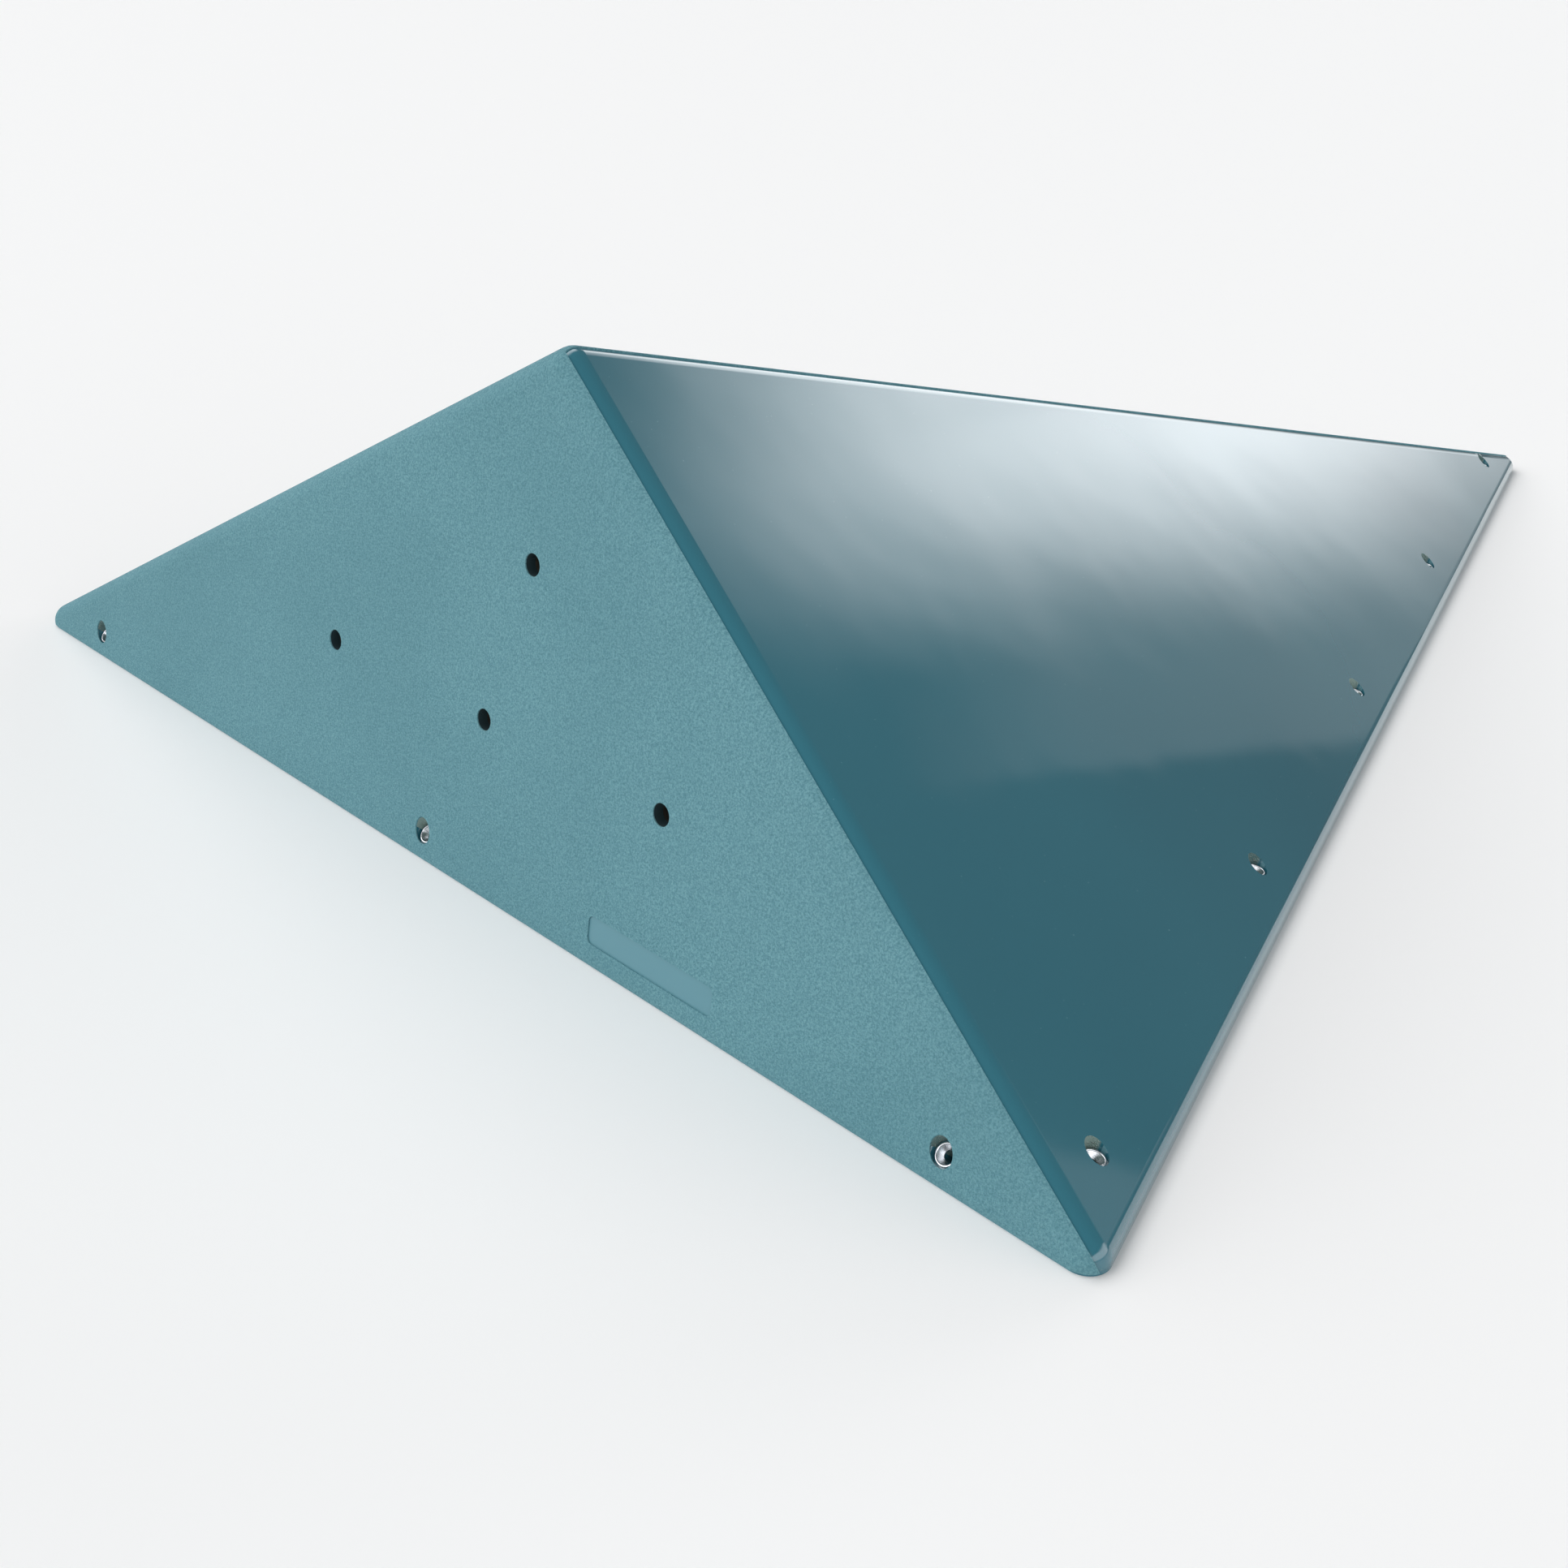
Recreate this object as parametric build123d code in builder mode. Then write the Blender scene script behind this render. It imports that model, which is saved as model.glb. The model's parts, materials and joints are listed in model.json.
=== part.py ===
from build123d import *
from math import cos, radians, sin
import os

# A hollow moulded volume for a climbing wall: a lopsided three-sided pyramid in glass-fibre
# laminate, open at the back, screwed down through recessed washers round its rim.
# Millimetres. The wall plane is Z = 0 and +Z points away from the wall. The rear edge runs
# along X, the front corner points along -Y, and the origin is the middle of the footprint.

# ---- driving dimensions: footprint and peak -------------------------------------------
LEFT_EDGE = 1005.0  # left corner to front corner
RIGHT_EDGE = 1395.0  # front corner to right corner
REAR_EDGE = 1410.0  # right corner back to left corner
PEAK_HEIGHT = 318.0  # top of the rounded peak above the wall plane
PEAK_ALONG = 265.0  # peak from the left corner, along the rear edge
PEAK_INSET = 523.0  # peak in from the rear edge

# ---- laminate and grip coat -------------------------------------------------------------
WALL = 6.0  # laminate thickness
INNER_RADIUS = 6.0  # inside radius of every ridge and of the rim
RIM_LAND = 3.0  # straight part of the rim above the wall plane
COAT = 0.8  # grip coat on the left and rear faces
COAT_START = 1.5  # the coat stops this far above the wall plane

# ---- recessed screw points round the rim ------------------------------------------------
POCKET_GAP = 0.8  # all round the washer in its pocket
POCKET_DEPTH = 5.5  # face to pocket floor, along the pocket's axis
SCREW_HOLE = 5.6
BOSS_WALL = 6.0  # solid laminate round each pocket
BOSS_REACH = 120.0  # more than the distance from any face to the wall plane
CUP_GAP = 0.3  # round and under the washer's cup in the floor of the pocket
# For each face: rise of the pockets up the slope, lean of their axes off the face's normal,
# first and last pocket from the ends of the edge, and where each lies between those two.
LEFT_POCKETS = dict(rise=18.6, lean=34.0, first=90.0, last=95.0, shares=(0.0, 0.495, 1.0))
RIGHT_POCKETS = dict(
    rise=43.0, lean=27.0, first=58.0, last=105.0, shares=(0.0, 0.25, 0.49, 0.735, 1.0)
)
REAR_POCKETS = dict(
    rise=46.0, lean=20.0, first=230.0, last=90.0, shares=(0.0, 0.25, 0.5, 0.75, 1.0)
)

# ---- cup washers ------------------------------------------------------------------------
WASHER_DIAMETER = 12.4
WASHER_RIM = 1.5  # height of the rolled rim above the pocket floor
RIM_ROLL = 0.7  # radius of that roll
CUP_MOUTH = 10.6  # outside of the cup where it leaves the rim
CUP_FOOT = 7.2  # outside of the cup at its foot
CUP_DEPTH = 2.8

# ---- threaded inserts for climbing holds ------------------------------------------------
HOLD_SPACING = 152.4
HOLD_HOLE = 12.7  # in the face of the shell
HOLD_HOLE_DEPTH = 5.5  # from there to the board the hole is only as wide as the barrel's
HOLD_ROW_RISE = 107.0  # lower row, up the left face from the wall plane
HOLD_ROW_MIDDLE = 547.0  # middle insert of the row, from the left corner
UPPER_HOLD_RISE = 206.0
UPPER_HOLD_ALONG = 579.0
THREAD_BORE = 8.0  # minor diameter of a 3/8 inch coarse thread
BARREL_DIAMETER = 12.0
BARREL_LENGTH = 15.0
BARREL_CHAMFER = 0.5
BARREL_SLACK = 0.2  # clearance of the barrel in the board, on the diameter
FLANGE_DIAMETER = 38.0
FLANGE_THICKNESS = 2.0
FLANGE_SCREWS = 3
FLANGE_SCREW_CIRCLE = 13.0  # radius
SCREW_SHANK = 3.5
SCREW_LENGTH = 12.0
SCREW_HEAD = 7.0
SCREW_HEAD_HEIGHT = 2.2
SCREW_POINT = 3.0
SCREW_SLOT = 1.0  # width of the cross recess
SCREW_SLACK = 0.2  # clearance of a screw in its hole, on the diameter

# ---- bonded backing ---------------------------------------------------------------------
BOARD = 15.0  # plywood behind the inserts
BOARD_MARGIN = 48.0  # board beyond the middle of each outer insert
STIFFENER_WIDTH = 60.0
STIFFENER_DEPTH = 28.0
RIGHT_STIFFENER_ALONG = 430.0
RIGHT_STIFFENER_RISE = 205.0
RIGHT_STIFFENER_LENGTH = 500.0
REAR_STIFFENER_ALONG = 918.0
REAR_STIFFENER_RISE = 235.0
REAR_STIFFENER_LENGTH = 640.0
BEVEL = 25.0  # slope of the sides of every board and stiffener, off square
GLASS = 2.0  # glass laid over each of them
GLASS_LAP = 25.0  # how far that glass laps on to the shell
LAP_MARGIN = 2.0  # from the lap to the rounding of the nearest ridge

# ---- smooth panel left in the grip coat -------------------------------------------------
PANEL_LENGTH = 100.0
PANEL_WIDTH = 17.0
PANEL_CORNER = 4.0
PANEL_ALONG = 702.0
PANEL_RISE = 22.0

OUTER_RADIUS = INNER_RADIUS + WALL
POCKET_RADIUS = WASHER_DIAMETER / 2 + POCKET_GAP
CUP_RECESS_RADIUS = CUP_MOUTH / 2 + CUP_GAP
CUP_RECESS_DEPTH = CUP_DEPTH + CUP_GAP
BARREL_HOLE = BARREL_DIAMETER + BARREL_SLACK
FAR = 2 * REAR_EDGE  # longer than anything in the part
STANDING = (Align.CENTER, Align.CENTER, Align.MIN)  # a round cutter or body up from its plane
HANGING = (Align.CENTER, Align.CENTER, Align.MAX)  # and one down from its plane

os.makedirs("parts", exist_ok=True)


def save(piece, name):
    """Labels a finished piece and writes its STEP file."""
    piece.label = name
    export_step(piece, f"parts/{name}.step")


# ---- footprint and core -----------------------------------------------------------------
front_along = (LEFT_EDGE**2 + REAR_EDGE**2 - RIGHT_EDGE**2) / (2 * REAR_EDGE)
front_inset = (LEFT_EDGE**2 - front_along**2) ** 0.5
with BuildSketch(mode=Mode.PRIVATE) as footprint:
    Polygon((0, 0), (front_along, -front_inset), (REAR_EDGE, 0), align=None)
    fillet(footprint.vertices(), OUTER_RADIUS)
middle = footprint.sketch.bounding_box().center()

left_corner = Vector(0, 0, 0) - middle
front_corner = Vector(front_along, -front_inset, 0) - middle
right_corner = Vector(REAR_EDGE, 0, 0) - middle
core_peak = Vector(PEAK_ALONG, -PEAK_INSET, PEAK_HEIGHT - OUTER_RADIUS) - middle


def core_corner(corner, next_corner, last_corner):
    """A corner of the footprint moved in by the outside radius from both of its edges, and up
    to where the rounding of the rim begins."""
    to_next = (next_corner - corner).normalized()
    to_last = (last_corner - corner).normalized()
    half_angle = radians(to_next.get_angle(to_last) / 2)
    inward = (to_next + to_last).normalized() * (OUTER_RADIUS / sin(half_angle))
    return corner + inward + Vector(0, 0, RIM_LAND)


core_left = core_corner(left_corner, front_corner, right_corner)
core_front = core_corner(front_corner, right_corner, left_corner)
core_right = core_corner(right_corner, left_corner, front_corner)

# The core is the sharp pyramid through the centres of all the outside roundings.
with BuildPart() as core:
    with BuildSketch(Plane.XY.offset(RIM_LAND)) as core_base:
        Polygon(*[(point.X, point.Y) for point in (core_left, core_front, core_right)], align=None)
    loft(sections=[core_base.sketch.face(), Vertex(*core_peak)])


def grown_core(radius, bottom=0.0):
    """The core grown by radius on every side, with a straight rim down to the level bottom."""
    with BuildPart(mode=Mode.PRIVATE) as body:
        add(core.part)
        offset(amount=radius, kind=Kind.ARC)
        split(bisect_by=Plane.XY.offset(RIM_LAND), keep=Keep.TOP)
        with BuildSketch(Plane.XY.offset(bottom)):
            add(core_base.sketch)
            offset(amount=radius, kind=Kind.ARC)
        extrude(amount=RIM_LAND - bottom)
    return body.part


def face_plane(corner, next_corner, core_start, core_end):
    """The plane of one outside face: X along its base edge from corner, Y up the slope from
    the wall plane, Z out of the face."""
    along = (next_corner - corner).normalized()
    normal = (core_end - core_start).cross(core_peak - core_start).normalized()
    outward = along.cross(Vector(0, 0, 1))
    gap = (core_start + normal * OUTER_RADIUS - corner).dot(normal) / outward.dot(normal)
    return Plane(origin=corner + outward * gap, x_dir=along, z_dir=normal)


left_face = face_plane(left_corner, front_corner, core_left, core_front)
right_face = face_plane(front_corner, right_corner, core_front, core_right)
rear_face = face_plane(right_corner, left_corner, core_right, core_left)


def point_on(face, along, rise, depth=0.0, lean=0.0):
    """A plane at a point of a face, depth below it. Z is the face's normal, leaned up the
    slope, and the depth is measured along that leaned axis."""
    axis = face.z_dir * cos(radians(lean)) + face.y_dir * sin(radians(lean))
    spot = face.from_local_coords(Vector(along, rise, 0)) - axis * depth
    return Plane(origin=spot, x_dir=face.x_dir, z_dir=axis)


def pocket_floors(face, edge, rise, lean, first, last, shares):
    """The floors of the screw pockets along one edge, each facing out of its pocket."""
    span = edge - first - last
    return [point_on(face, first + share * span, rise, POCKET_DEPTH, lean) for share in shares]


pockets = {
    "left": pocket_floors(left_face, LEFT_EDGE, **LEFT_POCKETS),
    "right": pocket_floors(right_face, RIGHT_EDGE, **RIGHT_POCKETS),
    "rear": pocket_floors(rear_face, REAR_EDGE, **REAR_POCKETS),
}
all_floors = [floor for side in pockets.values() for floor in side]

hold_spots = [(HOLD_ROW_MIDDLE + step * HOLD_SPACING, HOLD_ROW_RISE) for step in (-1, 0, 1)]
hold_spots.append((UPPER_HOLD_ALONG, UPPER_HOLD_RISE))

# ---- shell ------------------------------------------------------------------------------
outer = grown_core(OUTER_RADIUS)
hollow = grown_core(INNER_RADIUS, -RIM_LAND)

with BuildPart() as cutters:
    with Locations(*all_floors):
        Cylinder(POCKET_RADIUS, POCKET_DEPTH + POCKET_RADIUS * 2, align=STANDING)
        Cylinder(CUP_RECESS_RADIUS, CUP_RECESS_DEPTH, align=HANGING)
        Cylinder(SCREW_HOLE / 2, BOSS_REACH, align=HANGING)
    with Locations(*[point_on(left_face, *spot, depth=HOLD_HOLE_DEPTH) for spot in hold_spots]):
        Cylinder(HOLD_HOLE / 2, 2 * WALL, align=STANDING)
        Cylinder(BARREL_HOLE / 2, 2 * WALL)


def ridge_plane(core_end, face, far_face):
    """The plane through a ridge of the core and the crest above it, facing the first face."""
    normal = (face.z_dir + far_face.z_dir).cross(core_end - core_peak)
    if normal.dot(face.z_dir) < 0:
        normal = -normal
    return Plane(origin=core_peak, z_dir=normal)


def face_side(face, *ridges):
    """The space that belongs to one face: inside the planes through its two ridges. A ridge is
    its lower end and the face on its other side."""
    with BuildPart(mode=Mode.PRIVATE) as space:
        Box(FAR, FAR, FAR)
        for core_end, far_face in ridges:
            split(bisect_by=ridge_plane(core_end, face, far_face), keep=Keep.TOP)
    return space.part


sides = {
    "left": face_side(left_face, (core_front, right_face), (core_left, rear_face)),
    "right": face_side(right_face, (core_front, left_face), (core_right, rear_face)),
    "rear": face_side(rear_face, (core_right, right_face), (core_left, left_face)),
}

bosses = {}
for side, floors in pockets.items():
    with BuildPart() as side_bosses:
        with Locations(*floors):
            Cylinder(POCKET_RADIUS + BOSS_WALL, 2 * BOSS_REACH)
        add(outer, mode=Mode.INTERSECT)
    bosses[side] = side_bosses.part

# The shell's three panels meet along the ridges. A boss belongs to its own face's panel.
for side, space in sides.items():
    with BuildPart() as panel:
        add(outer)
        add(hollow, mode=Mode.SUBTRACT)
        add(space, mode=Mode.INTERSECT)
        for boss_side, side_bosses in bosses.items():
            add(side_bosses, mode=Mode.ADD if boss_side == side else Mode.SUBTRACT)
        add(cutters.part, mode=Mode.SUBTRACT)
    save(panel.part, f"{side}_panel")

# ---- grip coat --------------------------------------------------------------------------
with BuildPart() as grip_coat:
    add(grown_core(OUTER_RADIUS + COAT))
    add(outer, mode=Mode.SUBTRACT)
    add(sides["right"], mode=Mode.SUBTRACT)
    split(bisect_by=Plane.XY.offset(COAT_START), keep=Keep.TOP)
    add(cutters.part, mode=Mode.SUBTRACT)
    with BuildSketch(point_on(left_face, PANEL_ALONG, PANEL_RISE)):
        RectangleRounded(PANEL_LENGTH, PANEL_WIDTH, PANEL_CORNER)
    extrude(amount=WALL, both=True, mode=Mode.SUBTRACT)
save(grip_coat.part, "grip_coat")

# ---- cup washers ------------------------------------------------------------------------
with BuildPart() as cup_washer:
    with BuildSketch(Plane.XZ):
        with BuildLine():
            Polyline(
                (CUP_MOUTH / 2, 0),
                (WASHER_DIAMETER / 2, 0),
                (WASHER_DIAMETER / 2, WASHER_RIM - RIM_ROLL),
            )
            RadiusArc(
                (WASHER_DIAMETER / 2, WASHER_RIM - RIM_ROLL),
                (WASHER_DIAMETER / 2 - 2 * RIM_ROLL, WASHER_RIM - RIM_ROLL),
                -RIM_ROLL,
            )
            Polyline(
                (WASHER_DIAMETER / 2 - 2 * RIM_ROLL, WASHER_RIM - RIM_ROLL),
                (SCREW_HOLE / 2, -CUP_DEPTH + RIM_ROLL),
                (SCREW_HOLE / 2, -CUP_DEPTH),
                (CUP_FOOT / 2, -CUP_DEPTH),
                (CUP_MOUTH / 2, 0),
            )
        make_face()
    revolve(axis=Axis.Z)

for side, floors in pockets.items():
    for number, floor in enumerate(floors, start=1):
        with BuildPart() as washer:
            with Locations(floor):
                add(cup_washer.part)
        save(washer.part, f"{side}_washer_{number}")

# ---- boards, stiffeners and the glass over them -------------------------------------------


def sloped_blocks(seat, corners, patches, growth, depth, slope):
    """Blocks under the plane seat, on every patch grown by growth, with sides that slope in.
    They stay over the flat part of the face, which lies between corners. A patch is its middle
    along and up, its length and its width."""
    flat_corners = [seat.to_local_coords(corner) for corner in corners]
    with BuildPart(mode=Mode.PRIVATE) as blocks:
        for along, rise, length, width in patches:
            with BuildSketch(seat):
                with Locations((along, rise)):
                    Rectangle(length + 2 * growth, width + 2 * growth)
            extrude(amount=-depth, taper=slope)
        with BuildSketch(seat):
            Polygon(*[(corner.X, corner.Y) for corner in flat_corners], align=None)
            offset(amount=growth - GLASS_LAP - LAP_MARGIN, kind=Kind.INTERSECTION)
        extrude(amount=-depth, taper=slope, mode=Mode.INTERSECT)
    return blocks.part


def bonded_backing(name, face, corners, patches, depth, drillings=None):
    """Blocks on the inside of a face and the glass laid over them, drilled together."""
    seat = face.offset(-WALL)
    with BuildPart() as block:
        add(sloped_blocks(seat, corners, patches, 0, depth, BEVEL))
        if drillings:
            add(drillings, mode=Mode.SUBTRACT)
    save(block.part, name)
    growth = GLASS / cos(radians(BEVEL))
    with BuildPart() as glass:
        add(sloped_blocks(seat, corners, patches, growth, depth + GLASS, BEVEL))
        add(sloped_blocks(seat, corners, patches, GLASS_LAP, GLASS, 0))
        add(sloped_blocks(seat, corners, patches, 0, depth, BEVEL), mode=Mode.SUBTRACT)
        if drillings:
            add(drillings, mode=Mode.SUBTRACT)
    save(glass.part, f"{name}_glass")


insert_seats = [point_on(left_face, *spot, depth=WALL + BOARD + GLASS) for spot in hold_spots]
with BuildPart() as insert_drillings:
    with Locations(*insert_seats):
        Cylinder(BARREL_HOLE / 2, 2 * (BOARD + GLASS))
        with PolarLocations(FLANGE_SCREW_CIRCLE, FLANGE_SCREWS):
            Cylinder((SCREW_SHANK + SCREW_SLACK) / 2, 2 * SCREW_LENGTH)

board_width = 2 * BOARD_MARGIN
upper_middle = (HOLD_ROW_RISE + UPPER_HOLD_RISE) / 2
upper_height = UPPER_HOLD_RISE - HOLD_ROW_RISE + board_width
board_patches = [
    (HOLD_ROW_MIDDLE, HOLD_ROW_RISE, 2 * HOLD_SPACING + board_width, board_width),
    (UPPER_HOLD_ALONG, upper_middle, board_width, upper_height),
]
right_patch = (
    RIGHT_STIFFENER_ALONG,
    RIGHT_STIFFENER_RISE,
    RIGHT_STIFFENER_LENGTH,
    STIFFENER_WIDTH,
)
rear_patch = (
    REAR_STIFFENER_ALONG,
    REAR_STIFFENER_RISE,
    REAR_STIFFENER_LENGTH,
    STIFFENER_WIDTH,
)
left_corners = (core_left, core_front, core_peak)
right_corners = (core_front, core_right, core_peak)
rear_corners = (core_right, core_left, core_peak)
bonded_backing("insert_board", left_face, left_corners, board_patches, BOARD, insert_drillings.part)
bonded_backing("right_stiffener", right_face, right_corners, [right_patch], STIFFENER_DEPTH)
bonded_backing("rear_stiffener", rear_face, rear_corners, [rear_patch], STIFFENER_DEPTH)

# ---- threaded inserts and their screws ------------------------------------------------------
with BuildPart() as insert_form:
    Cylinder(FLANGE_DIAMETER / 2, FLANGE_THICKNESS, align=HANGING)
    Cylinder(BARREL_DIAMETER / 2, BARREL_LENGTH, align=STANDING)
    chamfer(insert_form.edges().group_by(Axis.Z)[-1], BARREL_CHAMFER)
    Hole(THREAD_BORE / 2)
    with PolarLocations(FLANGE_SCREW_CIRCLE, FLANGE_SCREWS):
        Hole((SCREW_SHANK + SCREW_SLACK) / 2)

with BuildPart() as screw_form:
    with Locations((0, 0, -FLANGE_THICKNESS)):
        Cylinder(SCREW_HEAD / 2, SCREW_HEAD_HEIGHT, align=HANGING)
    fillet(screw_form.edges().group_by(Axis.Z)[0], SCREW_HEAD_HEIGHT / 2)
    with Locations((0, 0, -FLANGE_THICKNESS)):
        Cylinder(SCREW_SHANK / 2, SCREW_LENGTH - SCREW_POINT, align=STANDING)
    with Locations((0, 0, SCREW_LENGTH - SCREW_POINT - FLANGE_THICKNESS)):
        Cone(SCREW_SHANK / 2, 0, SCREW_POINT, align=STANDING)
    with Locations((0, 0, -FLANGE_THICKNESS - SCREW_HEAD_HEIGHT)):
        Box(SCREW_HEAD / 2, SCREW_SLOT, SCREW_HEAD_HEIGHT, mode=Mode.SUBTRACT)
        Box(SCREW_SLOT, SCREW_HEAD / 2, SCREW_HEAD_HEIGHT, mode=Mode.SUBTRACT)

for number, seat in enumerate(insert_seats, start=1):
    with BuildPart() as insert:
        with Locations(seat):
            add(insert_form.part)
    save(insert.part, f"hold_insert_{number}")
    with BuildPart() as insert_screws:
        with Locations(seat):
            with PolarLocations(FLANGE_SCREW_CIRCLE, FLANGE_SCREWS):
                add(screw_form.part)
    save(insert_screws.part, f"insert_screws_{number}")
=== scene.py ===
"""The climbing wall volume in its finished materials, on a pale floor in soft studio light."""

import json
import math

import bpy
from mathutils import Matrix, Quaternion, Vector

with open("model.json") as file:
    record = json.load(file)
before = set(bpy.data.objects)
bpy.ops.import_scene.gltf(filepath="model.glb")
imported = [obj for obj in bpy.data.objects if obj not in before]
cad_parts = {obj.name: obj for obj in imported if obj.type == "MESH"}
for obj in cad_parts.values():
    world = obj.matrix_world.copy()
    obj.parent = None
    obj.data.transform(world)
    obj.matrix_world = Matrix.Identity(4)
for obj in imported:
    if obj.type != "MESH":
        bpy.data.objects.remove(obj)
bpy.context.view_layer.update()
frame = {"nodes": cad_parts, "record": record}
nodes = frame["nodes"]

BOARD_GRAIN = (0.37, -0.93, 0)  # along the left face's lower edge
STIFFENER_GRAIN = (1, 0, 0)
LEFT_NORMAL = (-0.9206, -0.3681, 0.1306)  # out of the left face
DRILL_MARGIN = 0.0002  # the walls of a bore are found within this much of its radius
DRILL_REACH = 0.008  # and within this much of its middle

# ---- camera -------------------------------------------------------------------------------
CAMERA_AT = Vector((-0.7134, -1.0147, 0.5649))
CAMERA_AIM = Vector((0.35047, 0.82316, -0.44675))
CAMERA_ROLL = math.radians(2.03)
FOCAL_PIXELS = 2384.0
IMAGE_PIXELS = 1932.0
SENSOR_MM = 36.0

# ---- colours, linear ------------------------------------------------------------------------
GRIP_TEAL = (0.107, 0.277, 0.322, 1)
GRIP_DARK = (0.055, 0.180, 0.218, 1)
GRIP_PALE = (0.200, 0.410, 0.455, 1)
GEL_TEAL = (0.034, 0.170, 0.220, 1)
GEL_DEEP = (0.026, 0.140, 0.186, 1)
RESIN = (0.235, 0.330, 0.300, 1)
RESIN_DARK = (0.085, 0.165, 0.165, 1)
STRAND = (0.420, 0.500, 0.440, 1)
WINDOW_TEAL = (0.110, 0.270, 0.320, 1)
# near-black painted shade for the walls of the drilled bores, over the cut laminate
BORE_PAINTED_SHADE = (0.012, 0.034, 0.040, 1)
# plywood tones darkened to near-black brown: painted shade for the bore walls where the plywood
# shows
PLY_PAINTED_SHADE = (0.060, 0.052, 0.036, 1)
PLY_PAINTED_SHADE_DARK = (0.028, 0.024, 0.018, 1)
SOFTWOOD = (0.60, 0.42, 0.22, 1)
SOFTWOOD_DARK = (0.42, 0.26, 0.11, 1)
GLASS_RESIN = (0.36, 0.42, 0.30, 1)
GLASS_RESIN_DARK = (0.20, 0.27, 0.20, 1)
GLASS_STRAND = (0.58, 0.62, 0.50, 1)
STAINLESS = (0.80, 0.82, 0.85, 1)
# zinc darkened as painted shade for the inserts at the bottom of the hold holes
INSERT_ZINC_PAINTED_SHADE = (0.22, 0.22, 0.21, 1)
YELLOW_ZINC = (0.66, 0.56, 0.34, 1)
FLOOR = (0.935, 0.925, 0.915, 1)
SKY_TINT = (0.97, 0.985, 1.0, 1)

# ---- light: azimuth and elevation of the middle, width and height, soft edge across and up, and
# tilt, all in degrees, and brightness ----------------------------------------------------------
ROOM_GLOW = 0.13
BACKDROP_GLOW = 0.93
SOFT_BOXES = (
    (41, 19, 23, 7, 7, 12, 0, 2.25),  # bright and soft, reflected across the top of the gloss face
    (25, 12, 10, 14, 0.6, 6, 8, 0.22),  # its dim skirt, with a crisp lower edge
    (0, 17, 12, 14, 0.7, 4, 0, 0.27),  # reflected by the front corner
    (215, 30, 66, 24, 15, 12, 0, 1.55),  # in front and to the left
    (305, 18, 70, 20, 15, 8, 0, 1.9),  # in front and to the right, low
    (128, 46, 66, 34, 15, 15, 0, 2.35),  # behind and to the left
)


class Nodes:
    """A short way to write a node tree: each call makes one node and sets its sockets."""

    def __init__(self, tree):
        self.tree = tree

    def __call__(self, kind, sockets=None, **settings):
        node = self.tree.nodes.new(kind)
        for key, value in settings.items():
            setattr(node, key, value)
        for key, value in (sockets or {}).items():
            if isinstance(value, bpy.types.NodeSocket):
                self.tree.links.new(value, node.inputs[key])
            else:
                node.inputs[key].default_value = value
        return node

    def math(self, operation, a, b=0.0, clamp=False):
        return self("ShaderNodeMath", {0: a, 1: b}, operation=operation, use_clamp=clamp).outputs[0]

    def dot(self, a, b):
        return self("ShaderNodeVectorMath", {0: a, 1: b}, operation="DOT_PRODUCT").outputs["Value"]

    def mix(self, amount, a, b):
        node = self("ShaderNodeMix", {"Factor": amount}, data_type="RGBA")
        for socket, value in ((node.inputs[6], a), (node.inputs[7], b)):
            if isinstance(value, bpy.types.NodeSocket):
                self.tree.links.new(value, socket)
            else:
                socket.default_value = value
        return node.outputs[2]

    def noise(self, place, scale, detail=2.0, roughness=0.5):
        settings = {"Vector": place, "Scale": scale, "Detail": detail, "Roughness": roughness}
        return self("ShaderNodeTexNoise", settings).outputs["Fac"]

    def ramp(self, value, low, high):
        """0 at low, 1 at high and a smooth step between them."""
        sockets = {"Value": value, "From Min": low, "From Max": high}
        return self("ShaderNodeMapRange", sockets, interpolation_type="SMOOTHSTEP").outputs[0]

    def bump(self, height, distance, strength=1.0, under=None):
        sockets = {"Height": height, "Distance": distance, "Strength": strength}
        if under is not None:
            sockets["Normal"] = under
        return self("ShaderNodeBump", sockets).outputs[0]


def material(name, **principled):
    """A new material. Returns it, its node maker, its object coordinates and its shader."""
    made = bpy.data.materials.new(name)
    made.use_nodes = True
    make = Nodes(made.node_tree)
    shader = made.node_tree.nodes["Principled BSDF"]
    for key, value in principled.items():
        shader.inputs[key.replace("_", " ")].default_value = value
    place = make("ShaderNodeTexCoord").outputs["Object"]
    return made, make, place, shader


def connect(make, shader, **links):
    for key, value in links.items():
        make.tree.links.new(value, shader.inputs[key.replace("_", " ")])


def chopped_strands(make, place, cells):
    """Short fibres lying every way: stripes turned by a random angle in every cell."""
    total = None
    for turn in (0.0, 2.1, 4.4):
        moved = make(
            "ShaderNodeMapping", {"Vector": place, "Rotation": (turn, turn * 0.7, turn * 1.3)}
        ).outputs[0]
        cell = make("ShaderNodeTexVoronoi", {"Vector": moved, "Scale": cells})
        axis = make(
            "ShaderNodeVectorMath",
            {0: cell.outputs["Color"], 1: (0.5, 0.5, 0.5)},
            operation="SUBTRACT",
        ).outputs[0]
        spun = make(
            "ShaderNodeVectorRotate",
            {"Vector": moved, "Axis": axis, "Angle": 1.9},
            rotation_type="AXIS_ANGLE",
        ).outputs[0]
        stretched = make(
            "ShaderNodeMapping", {"Vector": spun, "Scale": (900.0, 60.0, 900.0)}
        ).outputs[0]
        fibre = make.noise(stretched, 1.0, 1.0)
        total = fibre if total is None else make.math("MAXIMUM", total, fibre)
    return total


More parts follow.
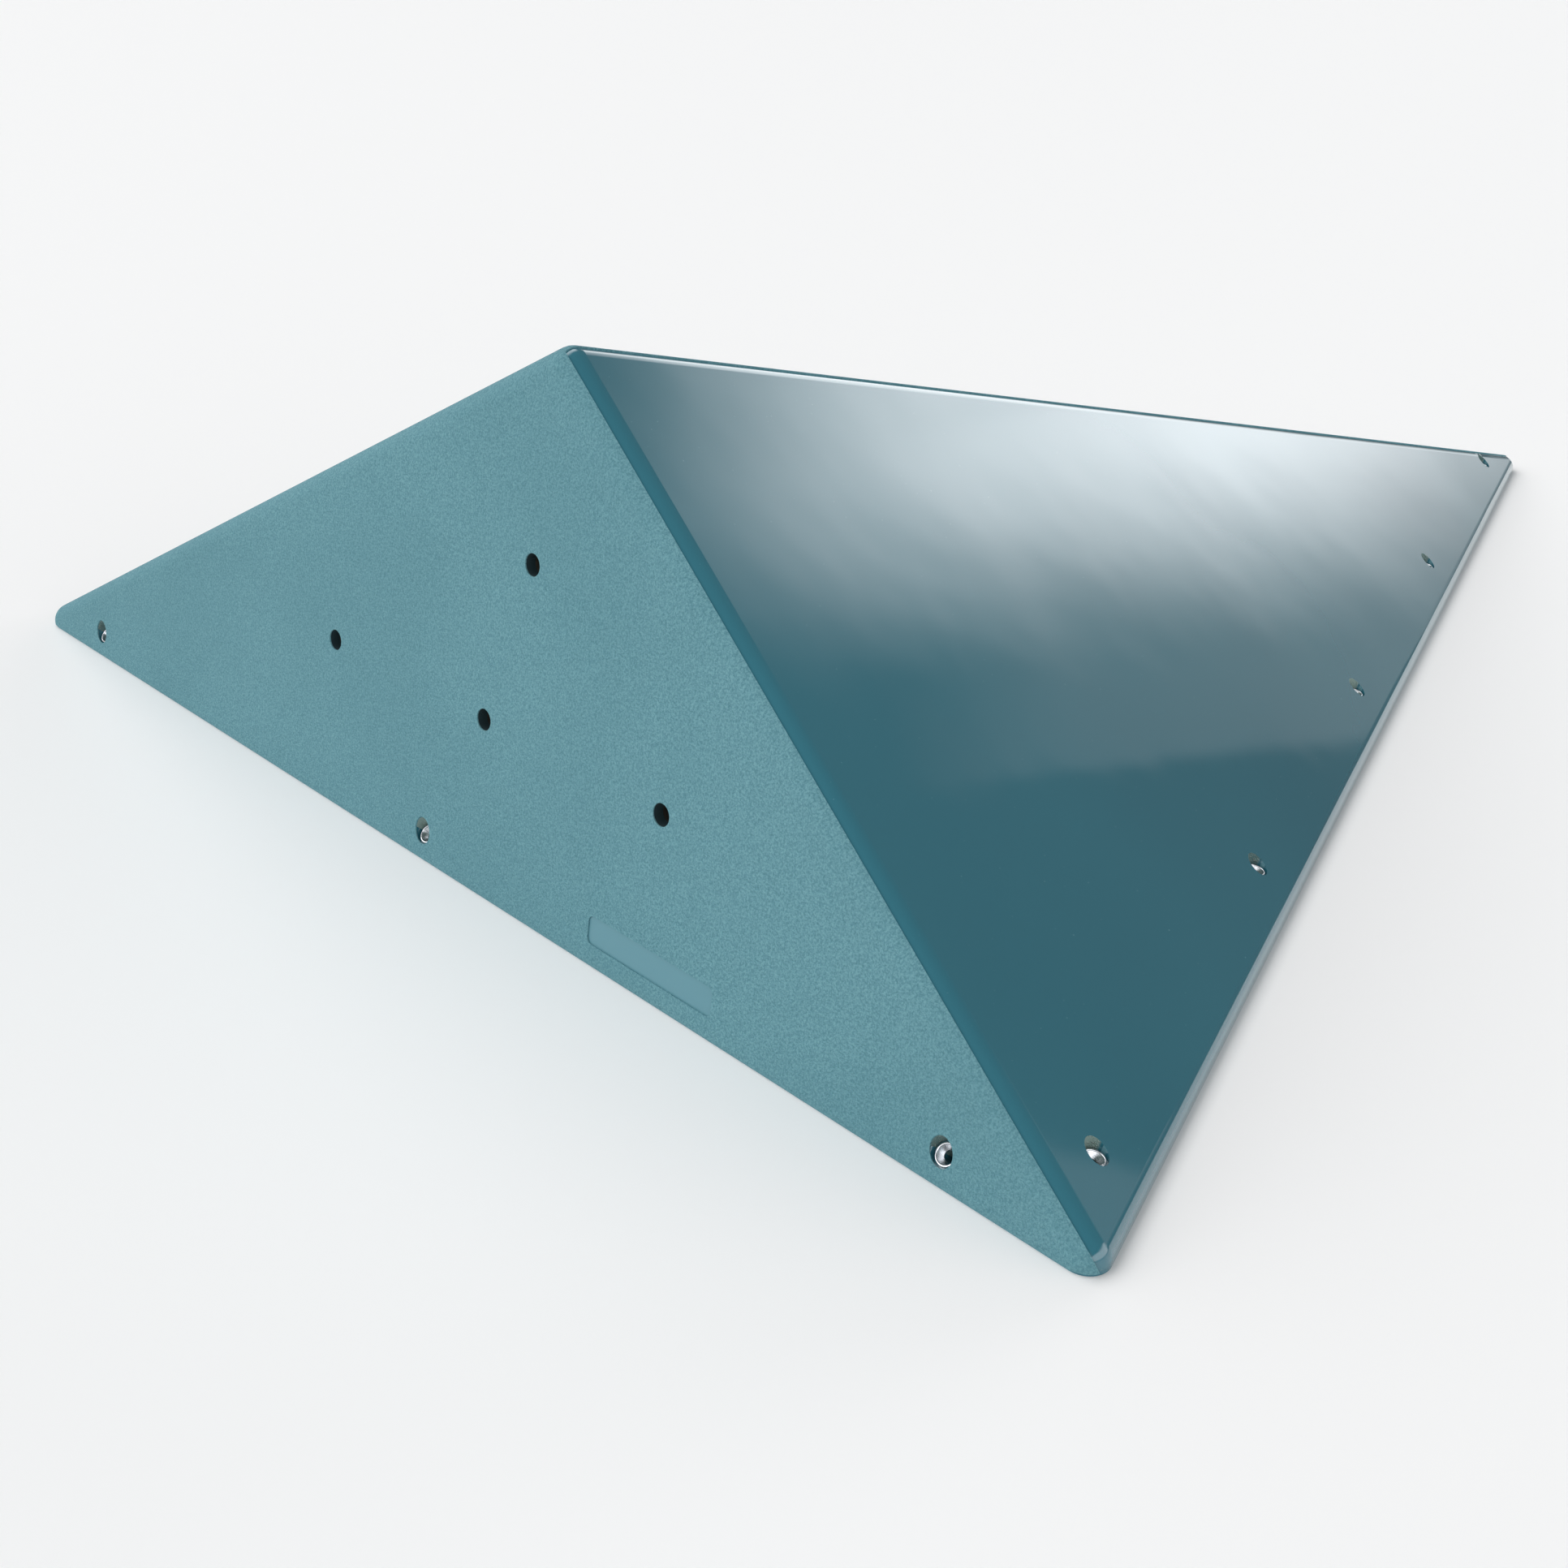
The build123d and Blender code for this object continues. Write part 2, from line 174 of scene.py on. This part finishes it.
# ---- materials ------------------------------------------------------------------------------
def grip_material():
    """Sprayed grit: a fine sharp grain over a slow, cloudy change of shade."""
    made, make, place, shader = material("grip texture", Roughness=0.86)
    grain = make.noise(place, 1300.0, 3.0, 0.7)
    coarse = make.noise(place, 760.0, 2.0, 0.6)
    cloud = make.noise(place, 7.0, 3.0, 0.55)
    grit = make.math("ADD", make.math("MULTIPLY", grain, 0.5), make.math("MULTIPLY", coarse, 0.5))
    shade = make.mix(make.ramp(grit, 0.36, 0.64), GRIP_DARK, GRIP_PALE)
    colour = make.mix(0.40, shade, GRIP_TEAL)
    colour = make.mix(make.math("MULTIPLY", make.ramp(cloud, 0.35, 0.7), 0.18), colour, GRIP_DARK)
    normal = make.bump(grit, 0.0011, 0.9)
    connect(make, shader, Base_Color=colour, Normal=normal)
    return made


def drilled_mask(make, place, bores):
    """1 on the walls of the bores and 0 elsewhere."""
    total = None
    for bore in bores:
        arm = make(
            "ShaderNodeVectorMath", {0: place, 1: tuple(bore["pos_m"])}, operation="SUBTRACT"
        ).outputs[0]
        along = make.dot(arm, tuple(bore["axis"]))
        off = make.math("SUBTRACT", make.dot(arm, arm), make.math("MULTIPLY", along, along))
        reach = bore["dims"]["r_mm"] / 1000 + DRILL_MARGIN
        near = make.math("LESS_THAN", make.math("ABSOLUTE", along), DRILL_REACH)
        inside = make.math("MULTIPLY", make.math("LESS_THAN", off, reach * reach), near)
        total = inside if total is None else make.math("MAXIMUM", total, inside)
    return total


def shell_material(bores):
    """Polished gelcoat where the surface faces out, bare chopped-strand laminate where it
    faces the hollow, near-black painted shade on the cut laminate in the drilled holes and a
    paler patch under the grip coat's window."""
    made, make, place, shader = material(
        "gelcoat and laminate", IOR=1.5, Coat_Roughness=0.03, Coat_IOR=1.5
    )
    facing = make("ShaderNodeTexCoord").outputs["Normal"]
    inside = make.ramp(make.dot(facing, (0.0, 0.0, 1.0)), 0.0, -0.05)
    swirl = make.noise(place, 2.6, 2.0, 0.45)
    gel = make.mix(make.ramp(swirl, 0.3, 0.7), GEL_TEAL, GEL_DEEP)
    speck = make.ramp(make.noise(place, 520.0, 1.0), 0.79, 0.82)
    gel = make.mix(make.math("MULTIPLY", speck, 0.35), gel, GRIP_PALE)
    window = make.ramp(make.dot(facing, LEFT_NORMAL), 0.97, 0.99)
    gel = make.mix(window, gel, WINDOW_TEAL)
    fibres = make.ramp(chopped_strands(make, place, 30.0), 0.55, 0.8)
    laminate = make.mix(make.ramp(make.noise(place, 9.0, 4.0), 0.35, 0.65), RESIN_DARK, RESIN)
    laminate = make.mix(make.math("MULTIPLY", fibres, 0.6), laminate, STRAND)
    colour = make.mix(inside, gel, laminate)
    drilled = drilled_mask(make, place, bores)
    # painted shade: the bore walls are coloured near-black for the shade inside the holes
    colour = make.mix(drilled, colour, BORE_PAINTED_SHADE)
    dull = make.math("MAXIMUM", make.math("MULTIPLY", inside, 0.36), drilled)
    dull = make.math("MAXIMUM", dull, make.math("MULTIPLY", window, 0.28))
    rough = make.math("ADD", dull, 0.07, clamp=True)
    bare = make.math("MAXIMUM", make.math("MAXIMUM", inside, drilled), window)
    coat = make.math("SUBTRACT", 1.0, bare, clamp=True)
    wave = make.noise(place, 4.5, 1.0, 0.4)
    ripple = make.noise(place, 17.0, 1.0, 0.4)
    slow = make.bump(wave, 0.020, 0.16)
    gloss_normal = make.bump(ripple, 0.003, 0.10, under=slow)
    rough_normal = make.bump(fibres, 0.0008, 0.8)
    normal = make(
        "ShaderNodeMix",
        {"Factor": inside, 4: gloss_normal, 5: rough_normal},
        data_type="VECTOR",
    ).outputs[1]
    connect(make, shader, Base_Color=colour, Roughness=rough, Coat_Weight=coat, Normal=normal)
    return made


def glass_material():
    """Resin-rich chopped strand glass laid by hand over the backing."""
    made, make, place, shader = material("lay-up glass", IOR=1.5)
    fibres = make.ramp(chopped_strands(make, place, 26.0), 0.5, 0.78)
    blotch = make.noise(place, 11.0, 4.0)
    resin = make.mix(make.ramp(blotch, 0.35, 0.65), GLASS_RESIN_DARK, GLASS_RESIN)
    colour = make.mix(make.math("MULTIPLY", fibres, 0.7), resin, GLASS_STRAND)
    rough = make.math("ADD", make.math("MULTIPLY", fibres, 0.25), 0.28)
    connect(
        make, shader, Base_Color=colour, Roughness=rough, Normal=make.bump(fibres, 0.0009, 0.9)
    )
    return made


def steel_material(name, colour, roughness, turned):
    """Steel with fine tool marks."""
    made, make, place, shader = material(name, Metallic=1.0)
    marks = make.noise(place, turned, 3.0, 0.6)
    smear = make.noise(place, 60.0, 2.0)
    dark = tuple(0.72 * part for part in colour[:3]) + (1,)
    tone = make.mix(make.ramp(smear, 0.3, 0.7), colour, dark)
    rough = make.math("ADD", make.math("MULTIPLY", marks, 0.16), roughness)
    connect(make, shader, Base_Color=tone, Roughness=rough, Normal=make.bump(marks, 0.0001, 0.5))
    return made


def wood_material(name, pale, dark, along, rings):
    """Wood with its grain along a direction, in the row's frame."""
    made, make, place, shader = material(name, Roughness=0.6)
    turn = Vector(along).to_track_quat("X", "Z").inverted().to_euler()
    laid = make("ShaderNodeMapping", {"Vector": place, "Rotation": tuple(turn)}).outputs[0]
    drawn = make("ShaderNodeMapping", {"Vector": laid, "Scale": (3.0, 45.0, 45.0)}).outputs[0]
    grain = make.noise(drawn, rings, 4.0, 0.6)
    fleck = make.noise(drawn, rings * 9, 2.0, 0.6)
    colour = make.mix(make.ramp(grain, 0.35, 0.65), pale, dark)
    colour = make.mix(make.math("MULTIPLY", make.ramp(fleck, 0.5, 0.7), 0.35), colour, dark)
    connect(make, shader, Base_Color=colour, Normal=make.bump(grain, 0.0006, 0.5))
    return made


record = frame["record"]
hold_bores = [mount for mount in record["mounts"] if mount["name"].startswith("hold_hole")]
finishes = {
    "gelcoat_laminate": shell_material(hold_bores),
    "grip_texture": grip_material(),
    "washer_steel": steel_material("washer steel", STAINLESS, 0.10, 2500.0),
    "lay_up_glass": glass_material(),
    # the plywood's near-black tone is painted shade for the bores it shows in
    "plywood": wood_material("plywood", PLY_PAINTED_SHADE, PLY_PAINTED_SHADE_DARK, BOARD_GRAIN, 1.0),
    "softwood": wood_material("softwood", SOFTWOOD, SOFTWOOD_DARK, STIFFENER_GRAIN, 1.0),
    # the inserts' dark zinc is partly painted shade for the hold holes
    "insert_steel": steel_material("insert zinc with painted shade", INSERT_ZINC_PAINTED_SHADE, 0.24, 1800.0),
    "screw_steel": steel_material("screw zinc", YELLOW_ZINC, 0.22, 1800.0),
}
for part in record["subparts"]:
    shown = nodes[part["node"]]
    shown.data.materials.clear()
    shown.data.materials.append(finishes[part["material_slot"]])

# ---- floor, light and camera ------------------------------------------------------------------
FLOOR_HALF = 60.0
floor_mesh = bpy.data.meshes.new("floor")
corners = [(x * FLOOR_HALF, y * FLOOR_HALF, 0) for x, y in ((-1, -1), (1, -1), (1, 1), (-1, 1))]
floor_mesh.from_pydata(corners, [], [(0, 1, 2, 3)])
floor = bpy.data.objects.new("floor", floor_mesh)
bpy.context.scene.collection.objects.link(floor)
floor_finish, _, _, floor_shader = material("floor", Roughness=0.9, Base_Color=FLOOR)
floor_mesh.materials.append(floor_finish)


def direction(azimuth, elevation):
    """A unit vector: azimuth in degrees from +X towards +Y, elevation above the horizon."""
    turn, lift = math.radians(azimuth), math.radians(elevation)
    return (
        math.cos(turn) * math.cos(lift),
        math.sin(turn) * math.cos(lift),
        math.sin(lift),
    )


# The studio is a dim room with soft boxes far away, so the floor is lit evenly.
world = bpy.data.worlds.new("studio")
bpy.context.scene.world = world
world.use_nodes = True
sky = Nodes(world.node_tree)
toward = sky("ShaderNodeTexCoord").outputs["Generated"]


def sky_box(azimuth, elevation, width, height, soft_across, soft_up, tilt, power):
    """A soft-edged rectangle of light in the sky."""
    ahead = Vector(direction(azimuth, elevation))
    turn = Quaternion(ahead, math.radians(tilt))
    across = tuple(turn @ Vector(direction(azimuth + 90, 0)))
    upward = tuple(turn @ Vector(direction(azimuth, elevation + 90)))
    ahead = tuple(ahead)
    depth = sky.math("MAXIMUM", sky.dot(toward, ahead), 0.001)
    light = sky.ramp(sky.dot(toward, ahead), 0.0, 0.1)
    for axis, size, soft in ((across, width, soft_across), (upward, height, soft_up)):
        slope = sky.math("DIVIDE", sky.dot(toward, axis), depth)
        slope = sky.math("ABSOLUTE", slope)
        edge = math.tan(math.radians(size / 2))
        fade = math.tan(math.radians(size / 2 + soft))
        light = sky.math("MULTIPLY", light, sky.ramp(slope, fade, edge))
    return sky.math("MULTIPLY", light, power)


glow = ROOM_GLOW
for light in SOFT_BOXES:
    glow = sky.math("ADD", glow, sky_box(*light))
# Seen directly, the room is one plain pale tone, like the floor.
seen = sky("ShaderNodeLightPath").outputs["Is Camera Ray"]
plain = sky("ShaderNodeMix", {"Factor": seen, 2: glow, 3: BACKDROP_GLOW}, data_type="FLOAT")
background = world.node_tree.nodes["Background"]
world.node_tree.links.new(plain.outputs[0], background.inputs["Strength"])
background.inputs["Color"].default_value = SKY_TINT

camera_data = bpy.data.cameras.new("camera")
camera_data.sensor_width = SENSOR_MM
camera_data.lens = SENSOR_MM * FOCAL_PIXELS / IMAGE_PIXELS
camera = bpy.data.objects.new("camera", camera_data)
camera.location = CAMERA_AT
camera.rotation_mode = "QUATERNION"
level = CAMERA_AIM.to_track_quat("-Z", "Y")
camera.rotation_quaternion = Quaternion(CAMERA_AIM.normalized(), -CAMERA_ROLL) @ level
bpy.context.scene.collection.objects.link(camera)
bpy.context.scene.camera = camera
bpy.context.scene.view_settings.view_transform = "Standard"
